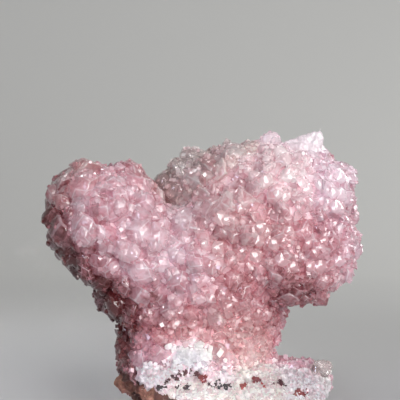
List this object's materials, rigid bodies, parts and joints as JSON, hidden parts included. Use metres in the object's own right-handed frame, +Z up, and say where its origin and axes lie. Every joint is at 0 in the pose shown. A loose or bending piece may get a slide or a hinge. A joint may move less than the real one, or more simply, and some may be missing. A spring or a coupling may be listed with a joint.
{
  "type": "cobaltoan calcite specimen",
  "caption": "Free-standing mineral specimen: a pink crystal crust in rounded crowns on a short neck, over a white calcite band and flat-bottomed host rock.",
  "frame": {"origin": "on the flat underside of the host rock, below the middle of the bounding box", "axes": "+Z up; +X from the left crown to the right crown; +Y from the show side to the back"},
  "size_m": [0.0694, 0.0374, 0.0604],
  "materials": {
    "host_rock": "matte",
    "white_calcite": "satin",
    "pink_calcite": "gloss"
  },
  "bodies": {
    "root": {"host_rock": "host_rock", "white_calcite_layer": "white_calcite", "pink_calcite_cluster": "pink_calcite"}
  },
  "joints": []
}
